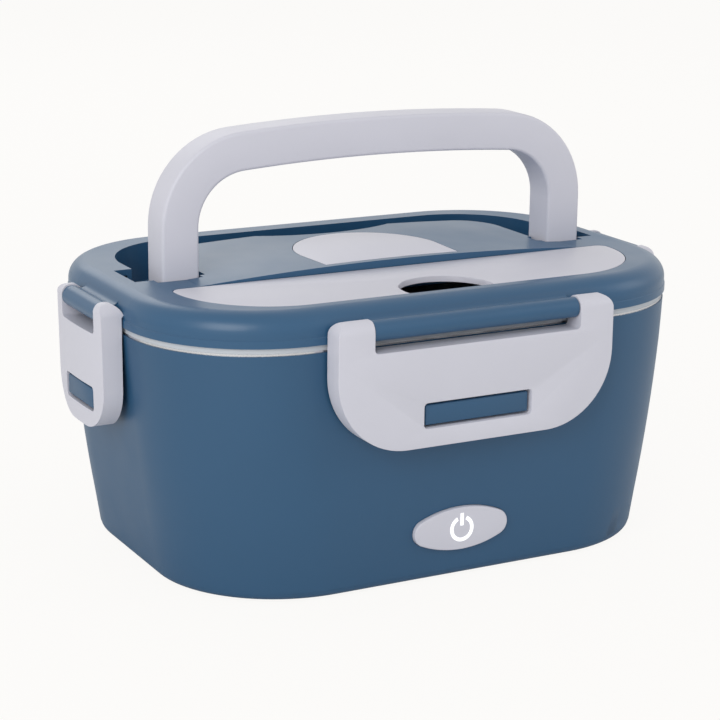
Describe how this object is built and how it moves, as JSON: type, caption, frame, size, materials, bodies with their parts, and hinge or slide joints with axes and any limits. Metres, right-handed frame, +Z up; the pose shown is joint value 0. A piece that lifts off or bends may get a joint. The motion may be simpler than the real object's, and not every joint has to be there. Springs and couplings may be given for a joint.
{
  "type": "electric lunch box",
  "caption": "Heated lunch box: steel food tray in an oval case, lift-off lid with side latches, folding carry handle, cutlery store, vent flap and front power button.",
  "frame": {"origin": "middle of the ground plane under the feet", "axes": "+Z up; the side with the power button faces -Y; +X is to the right seen from the front"},
  "size_m": [0.2506, 0.1758, 0.1696],
  "materials": {
    "blue_plastic": "matt blue moulded plastic",
    "grey_plastic": "satin light grey moulded plastic",
    "liner_plastic": "pale grey moulded plastic",
    "foot_rubber": "grey rubber",
    "seal_rubber": "pale grey silicone",
    "steel_hardware": "plain steel",
    "tray_steel": "brushed stainless steel",
    "cutlery_steel": "polished stainless steel",
    "heater_aluminium": "plain aluminium",
    "heater_core": "dark heating element",
    "thermostat_metal": "metal can",
    "fuse_ceramic": "cream sleeve",
    "circuit_board": "green circuit board",
    "black_plastic": "black plastic",
    "led_plastic": "clear lamp",
    "light_guide": "white light guide",
    "wire_insulation": "wire insulation"
  },
  "bodies": {
    "case": {"outer_body": "blue_plastic", "bottom_cover": "blue_plastic", "feet": "foot_rubber", "bottom_screws": "steel_hardware", "inner_liner": "liner_plastic", "heater_plate": "heater_aluminium", "heater_element": "heater_core", "thermostat": "thermostat_metal", "thermal_fuse": "fuse_ceramic", "control_board": "circuit_board", "tact_switch": "black_plastic", "button_led": "led_plastic", "mains_inlet": "black_plastic", "dc_inlet": "black_plastic", "wiring": "wire_insulation", "food_tray": "tray_steel"},
    "lid": {"lid_shell": "blue_plastic", "lid_liner": "liner_plastic", "lid_seal": "seal_rubber", "cutlery_pocket": "grey_plastic", "spoon": "cutlery_steel", "fork": "cutlery_steel", "handle_pins": "steel_hardware", "long_latch_pins": "steel_hardware", "short_latch_pins": "steel_hardware"},
    "power_button": {"power_button": "grey_plastic", "button_symbol": "light_guide"},
    "carry_handle": {"handle": "grey_plastic"},
    "cutlery_cover": {"cutlery_cover": "grey_plastic"},
    "vent_flap": {"vent_cover": "grey_plastic", "vent_seal": "seal_rubber"},
    "front_latch": {"latch_front": "grey_plastic"},
    "back_latch": {"latch_back": "grey_plastic"},
    "left_latch": {"latch_left": "grey_plastic"},
    "right_latch": {"latch_right": "grey_plastic"}
  },
  "joints": [
    {"name": "lid_lift", "type": "slide", "parent": "case", "child": "lid", "axis": [0, 0, 1], "range_m": [0, 0.05]},
    {"name": "front_latch_swing", "type": "hinge", "parent": "lid", "child": "front_latch", "pos_m": [0, -0.0834, 0.1043], "axis": [-1, 0, 0], "range_deg": [0, 150.1]},
    {"name": "back_latch_swing", "type": "hinge", "parent": "lid", "child": "back_latch", "pos_m": [0, 0.0834, 0.1043], "axis": [1, 0, 0], "range_deg": [0, 150.1]},
    {"name": "left_latch_swing", "type": "hinge", "parent": "lid", "child": "left_latch", "pos_m": [-0.1208, 0, 0.1043], "axis": [0, 1, 0], "range_deg": [0, 150.1]},
    {"name": "right_latch_swing", "type": "hinge", "parent": "lid", "child": "right_latch", "pos_m": [0.1208, 0, 0.1043], "axis": [0, -1, 0], "range_deg": [0, 150.1]},
    {"name": "handle_fold", "type": "hinge", "parent": "lid", "child": "carry_handle", "pos_m": [0, -0.0025, 0.1048], "axis": [1, 0, 0], "range_deg": [-90, 0]},
    {"name": "cutlery_cover_lift", "type": "slide", "parent": "lid", "child": "cutlery_cover", "axis": [0, 0, 1], "range_m": [0, 0.04]},
    {"name": "vent_flap_tilt", "type": "hinge", "parent": "lid", "child": "vent_flap", "pos_m": [0, 0.001, 0.1129], "axis": [1, 0, 0], "range_deg": [0, 20]},
    {"name": "button_press", "type": "slide", "parent": "case", "child": "power_button", "axis": [0, 1, 0], "range_m": [0, 0.0012], "stiffness_N_per_m": 1800, "springref_m": -0.0005}
  ],
  "couplings": [
    {"joint": "front_latch_swing", "follows": "lid_lift", "rad_per_m": 52.36},
    {"joint": "back_latch_swing", "follows": "lid_lift", "rad_per_m": 52.36},
    {"joint": "left_latch_swing", "follows": "lid_lift", "rad_per_m": 52.36},
    {"joint": "right_latch_swing", "follows": "lid_lift", "rad_per_m": 52.36}
  ]
}
